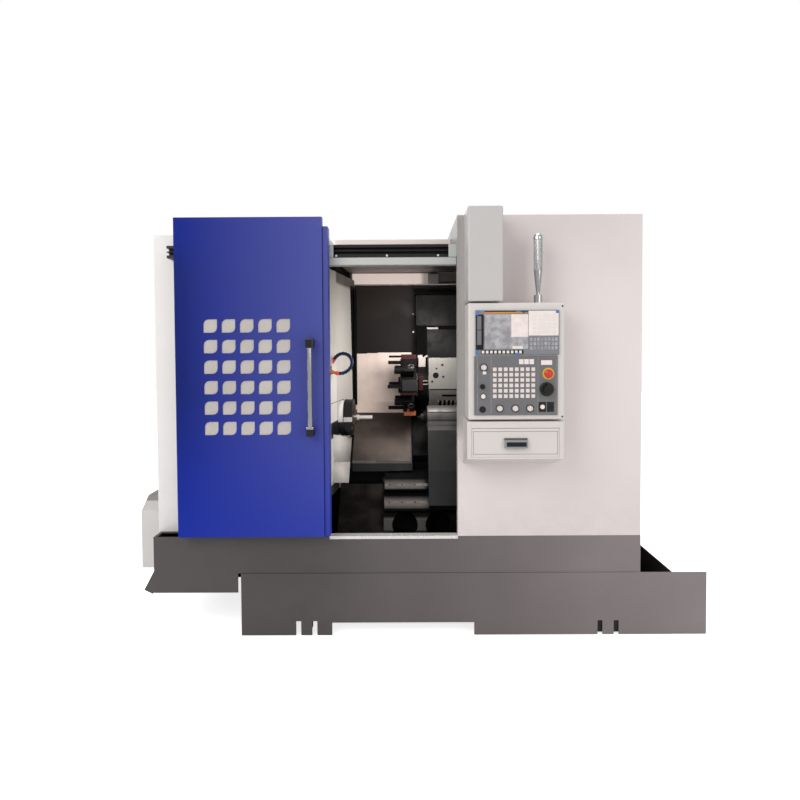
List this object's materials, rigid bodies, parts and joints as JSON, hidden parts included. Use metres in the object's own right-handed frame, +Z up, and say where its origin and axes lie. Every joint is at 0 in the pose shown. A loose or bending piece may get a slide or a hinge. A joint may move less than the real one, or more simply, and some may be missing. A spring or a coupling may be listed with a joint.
{
  "type": "cnc turning lathe",
  "caption": "Slant-bed turning lathe with a white sheet enclosure, perforated blue sliding door, grey base with coolant tank, tool turret, tailstock and hanging control box.",
  "frame": {"origin": "centre of the bounding box at floor level", "axes": "+X to the right along the spindle, seen from the operator's side; +Y to the machine's back; +Z up"},
  "size_m": [3.0183, 1.6723, 2.097],
  "materials": {
    "base_grey": "dark warm grey paint",
    "white_paint": "warm white powder coat",
    "light_grey": "light grey powder coat",
    "blue_paint": "glossy royal blue paint",
    "bare_steel": "ground bare steel",
    "brown_steel": "oil-stained sheet steel",
    "cast_iron": "machined and painted casting",
    "black": "black paint",
    "chrome": "polished chrome",
    "pane": "milky plastic pane",
    "hose_blue": "dark blue plastic",
    "panel_grey": "mid grey paint",
    "display_grey": "grey plastic",
    "knob_white": "off-white plastic",
    "stop_red": "red plastic",
    "lamp_clear": "clear plastic"
  },
  "bodies": {
    "frame": {"back_lining": "brown_steel", "base_skirt": "base_grey", "bed_casting": "cast_iron", "chip_pan": "black", "control_column": "light_grey", "coolant_hose": "hose_blue", "door_sill": "bare_steel", "door_track": "black", "drawer_console": "light_grey", "header_beam": "bare_steel", "headstock": "cast_iron", "headstock_wall": "white_paint", "left_cover": "white_paint", "motor_cover": "white_paint", "rear_cover": "white_paint", "right_cabinet": "white_paint", "roof_panel": "white_paint", "work_light": "knob_white", "z_cover_fixed": "brown_steel"},
    "spindle_line": {"chuck_body": "cast_iron", "spindle": "bare_steel", "test_bar": "bare_steel"},
    "jaw_1": {"chuck_jaw_1": "bare_steel"},
    "jaw_2": {"chuck_jaw_2": "bare_steel"},
    "jaw_3": {"chuck_jaw_3": "bare_steel"},
    "control": {"control_box": "light_grey", "display_unit": "display_grey", "lamp_base": "chrome", "lamp_cap": "chrome", "lamp_tube": "lamp_clear", "operator_panel": "panel_grey"},
    "tank": {"coolant_tank": "base_grey"},
    "cross_slide_body": {"cross_slide": "cast_iron", "turret_housing": "panel_grey"},
    "door": {"door_channel": "blue_paint", "door_handle": "chrome", "door_pane": "pane", "door_panel": "blue_paint"},
    "drawer_body": {"drawer": "light_grey", "drawer_pull": "chrome"},
    "wheel_body": {"hand_wheel": "black"},
    "hold_button_body": {"hold_button": "black"},
    "key_body": {"key_switch": "black"},
    "centre": {"live_centre": "bare_steel"},
    "mode_knob_body": {"mode_knob": "knob_white"},
    "override_knob_1_body": {"override_knob_1": "knob_white"},
    "override_knob_2_body": {"override_knob_2": "knob_white"},
    "override_knob_3_body": {"override_knob_3": "knob_white"},
    "carriage": {"saddle": "cast_iron", "x_drive_cover": "black", "z_cover_moving": "brown_steel"},
    "start_button_body": {"start_button": "knob_white"},
    "stop_body": {"stop_button": "stop_red"},
    "tailstock": {"tailstock_body": "cast_iron"},
    "quill": {"tailstock_quill": "bare_steel"},
    "roller_left": {"tank_roller_left": "black"},
    "roller_right": {"tank_roller_right": "black"},
    "turret": {"turret_disc": "black"},
    "cover_link": {"z_cover_middle": "brown_steel"}
  },
  "joints": [
    {"name": "door_slide", "type": "slide", "parent": "frame", "child": "door", "axis": [1, 0, 0], "range_m": [0, 0.63]},
    {"name": "spindle_turn", "type": "hinge", "parent": "frame", "child": "spindle_line", "pos_m": [-0.36685, -0.217, 1.05], "axis": [1, 0, 0], "continuous": true},
    {"name": "jaw_1_slide", "type": "slide", "parent": "spindle_line", "child": "jaw_1", "axis": [0, 0, 1], "range_m": [0, 0.003]},
    {"name": "jaw_2_slide", "type": "slide", "parent": "spindle_line", "child": "jaw_2", "axis": [0, -0.866, -0.5], "range_m": [0, 0.003]},
    {"name": "jaw_3_slide", "type": "slide", "parent": "spindle_line", "child": "jaw_3", "axis": [0, 0.866, -0.5], "range_m": [0, 0.003]},
    {"name": "z_feed", "type": "slide", "parent": "frame", "child": "carriage", "axis": [1, 0, 0], "range_m": [-0.12, 0.2]},
    {"name": "cover_follow", "type": "slide", "parent": "frame", "child": "cover_link", "axis": [1, 0, 0], "range_m": [-0.06, 0.1]},
    {"name": "x_feed", "type": "slide", "parent": "carriage", "child": "cross_slide_body", "axis": [0, -0.7071, -0.7071], "range_m": [-0.025, 0.055]},
    {"name": "turret_index", "type": "hinge", "parent": "cross_slide_body", "child": "turret", "pos_m": [-0.01885, -0.04659, 1.22041], "axis": [1, 0, 0], "continuous": true},
    {"name": "tailstock_slide", "type": "slide", "parent": "frame", "child": "tailstock", "axis": [1, 0, 0], "range_m": [-0.08, 0.28]},
    {"name": "quill_slide", "type": "slide", "parent": "tailstock", "child": "quill", "axis": [-1, 0, 0], "range_m": [0, 0.06]},
    {"name": "centre_spin", "type": "hinge", "parent": "quill", "child": "centre", "pos_m": [0.11115, -0.217, 1.05], "axis": [1, 0, 0], "continuous": true},
    {"name": "control_swing", "type": "hinge", "parent": "frame", "child": "control", "pos_m": [0.33615, -0.667, 1.106], "axis": [0, 0, -1], "range_deg": [0, 35]},
    {"name": "drawer_slide", "type": "slide", "parent": "frame", "child": "drawer_body", "axis": [0, -1, 0], "range_m": [0, 0.14]},
    {"name": "tank_slide", "type": "slide", "parent": "frame", "child": "tank", "axis": [0, -1, 0], "range_m": [0, 0.5]},
    {"name": "roller_left_turn", "type": "hinge", "parent": "tank", "child": "roller_left", "pos_m": [-0.49085, -0.557, 0.03], "axis": [1, 0, 0], "continuous": true},
    {"name": "roller_right_turn", "type": "hinge", "parent": "tank", "child": "roller_right", "pos_m": [1.01915, -0.557, 0.03], "axis": [1, 0, 0], "continuous": true},
    {"name": "override_1_turn", "type": "hinge", "parent": "control", "child": "override_knob_1_body", "pos_m": [0.44745, -0.804, 1.1604], "axis": [0, 1, 0], "range_deg": [-135, 135]},
    {"name": "override_2_turn", "type": "hinge", "parent": "control", "child": "override_knob_2_body", "pos_m": [0.51985, -0.804, 1.1604], "axis": [0, 1, 0], "range_deg": [-135, 135]},
    {"name": "override_3_turn", "type": "hinge", "parent": "control", "child": "override_knob_3_body", "pos_m": [0.58755, -0.804, 1.1604], "axis": [0, 1, 0], "range_deg": [-135, 135]},
    {"name": "mode_turn", "type": "hinge", "parent": "control", "child": "mode_knob_body", "pos_m": [0.37365, -0.804, 1.3514], "axis": [0, 1, 0], "range_deg": [-60, 60]},
    {"name": "key_turn", "type": "hinge", "parent": "control", "child": "key_body", "pos_m": [0.36805, -0.804, 1.2622], "axis": [0, 1, 0], "range_deg": [0, 90]},
    {"name": "wheel_turn", "type": "hinge", "parent": "control", "child": "wheel_body", "pos_m": [0.66415, -0.804, 1.2496], "axis": [0, 1, 0], "continuous": true},
    {"name": "stop_push", "type": "slide", "parent": "control", "child": "stop_body", "axis": [0, 1, 0], "range_m": [0, 0.005], "stiffness_N_per_m": 400},
    {"name": "start_push", "type": "slide", "parent": "control", "child": "start_button_body", "axis": [0, 1, 0], "range_m": [0, 0.003], "stiffness_N_per_m": 300},
    {"name": "hold_push", "type": "slide", "parent": "control", "child": "hold_button_body", "axis": [0, 1, 0], "range_m": [0, 0.003], "stiffness_N_per_m": 300}
  ],
  "couplings": [
    {"joint": "jaw_2_slide", "follows": "jaw_1_slide", "ratio": 1},
    {"joint": "jaw_3_slide", "follows": "jaw_1_slide", "ratio": 1},
    {"joint": "cover_follow", "follows": "z_feed", "ratio": 0.5},
    {"joint": "roller_left_turn", "follows": "tank_slide", "rad_per_m": 33.333},
    {"joint": "roller_right_turn", "follows": "tank_slide", "rad_per_m": 33.333}
  ]
}
